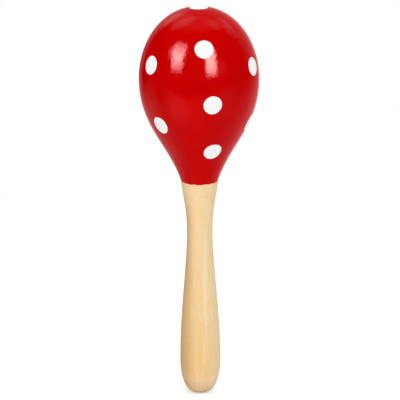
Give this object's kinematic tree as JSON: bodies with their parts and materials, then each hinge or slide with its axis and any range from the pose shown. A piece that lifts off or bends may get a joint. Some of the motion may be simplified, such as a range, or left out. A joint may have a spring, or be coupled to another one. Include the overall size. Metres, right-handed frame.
{
  "type": "maraca",
  "caption": "Small wooden maraca: an egg-shaped hollow head in glossy red lacquer with white dots, loose pellets inside, glued to a slim turned handle of clear-varnished wood.",
  "frame": {"origin": "on the maraca's axis, in the middle of the grip, 45 mm above the butt of the handle", "axes": "+Z along the axis from the butt to the crown of the head; +Y away from the picture's camera; +X to its right"},
  "size_m": [0.0606, 0.0606, 0.2],
  "materials": {
    "red_lacquer": "glossy red lacquer over turned wood",
    "dot_paint": "glossy white paint film on the lacquer",
    "varnished_wood": "pale fine-grained hardwood under clear satin varnish",
    "pellet_plastic": "matt moulded pellets"
  },
  "bodies": {
    "maraca": {"head_shell": "red_lacquer", "neck_cone": "red_lacquer", "handle": "varnished_wood"},
    "pellet_01": {"pellet_01": "pellet_plastic"},
    "pellet_02": {"pellet_02": "pellet_plastic"},
    "pellet_03": {"pellet_03": "pellet_plastic"},
    "pellet_04": {"pellet_04": "pellet_plastic"},
    "pellet_05": {"pellet_05": "pellet_plastic"},
    "pellet_06": {"pellet_06": "pellet_plastic"},
    "pellet_07": {"pellet_07": "pellet_plastic"},
    "pellet_08": {"pellet_08": "pellet_plastic"},
    "pellet_09": {"pellet_09": "pellet_plastic"},
    "pellet_10": {"pellet_10": "pellet_plastic"},
    "pellet_11": {"pellet_11": "pellet_plastic"},
    "pellet_12": {"pellet_12": "pellet_plastic"},
    "pellet_13": {"pellet_13": "pellet_plastic"},
    "pellet_14": {"pellet_14": "pellet_plastic"},
    "pellet_15": {"pellet_15": "pellet_plastic"},
    "pellet_16": {"pellet_16": "pellet_plastic"},
    "pellet_17": {"pellet_17": "pellet_plastic"},
    "pellet_18": {"pellet_18": "pellet_plastic"},
    "pellet_19": {"pellet_19": "pellet_plastic"}
  },
  "joints": [
    {"name": "pellet_01_flight", "type": "slide", "parent": "maraca", "child": "pellet_01", "axis": [0, 0, 1], "range_m": [0, 0.0449]},
    {"name": "pellet_02_flight", "type": "slide", "parent": "maraca", "child": "pellet_02", "axis": [0, 0, 1], "range_m": [0, 0.0435]},
    {"name": "pellet_03_flight", "type": "slide", "parent": "maraca", "child": "pellet_03", "axis": [0, 0, 1], "range_m": [0, 0.0435]},
    {"name": "pellet_04_flight", "type": "slide", "parent": "maraca", "child": "pellet_04", "axis": [0, 0, 1], "range_m": [0, 0.0435]},
    {"name": "pellet_05_flight", "type": "slide", "parent": "maraca", "child": "pellet_05", "axis": [0, 0, 1], "range_m": [0, 0.0435]},
    {"name": "pellet_06_flight", "type": "slide", "parent": "maraca", "child": "pellet_06", "axis": [0, 0, 1], "range_m": [0, 0.0435]},
    {"name": "pellet_07_flight", "type": "slide", "parent": "maraca", "child": "pellet_07", "axis": [0, 0, 1], "range_m": [0, 0.0435]},
    {"name": "pellet_08_flight", "type": "slide", "parent": "maraca", "child": "pellet_08", "axis": [0, 0, 1], "range_m": [0, 0.0388]},
    {"name": "pellet_09_flight", "type": "slide", "parent": "maraca", "child": "pellet_09", "axis": [0, 0, 1], "range_m": [0, 0.0405]},
    {"name": "pellet_10_flight", "type": "slide", "parent": "maraca", "child": "pellet_10", "axis": [0, 0, 1], "range_m": [0, 0.0388]},
    {"name": "pellet_11_flight", "type": "slide", "parent": "maraca", "child": "pellet_11", "axis": [0, 0, 1], "range_m": [0, 0.0405]},
    {"name": "pellet_12_flight", "type": "slide", "parent": "maraca", "child": "pellet_12", "axis": [0, 0, 1], "range_m": [0, 0.0388]},
    {"name": "pellet_13_flight", "type": "slide", "parent": "maraca", "child": "pellet_13", "axis": [0, 0, 1], "range_m": [0, 0.0405]},
    {"name": "pellet_14_flight", "type": "slide", "parent": "maraca", "child": "pellet_14", "axis": [0, 0, 1], "range_m": [0, 0.0388]},
    {"name": "pellet_15_flight", "type": "slide", "parent": "maraca", "child": "pellet_15", "axis": [0, 0, 1], "range_m": [0, 0.0405]},
    {"name": "pellet_16_flight", "type": "slide", "parent": "maraca", "child": "pellet_16", "axis": [0, 0, 1], "range_m": [0, 0.0388]},
    {"name": "pellet_17_flight", "type": "slide", "parent": "maraca", "child": "pellet_17", "axis": [0, 0, 1], "range_m": [0, 0.0405]},
    {"name": "pellet_18_flight", "type": "slide", "parent": "maraca", "child": "pellet_18", "axis": [0, 0, 1], "range_m": [0, 0.0388]},
    {"name": "pellet_19_flight", "type": "slide", "parent": "maraca", "child": "pellet_19", "axis": [0, 0, 1], "range_m": [0, 0.0405]}
  ]
}
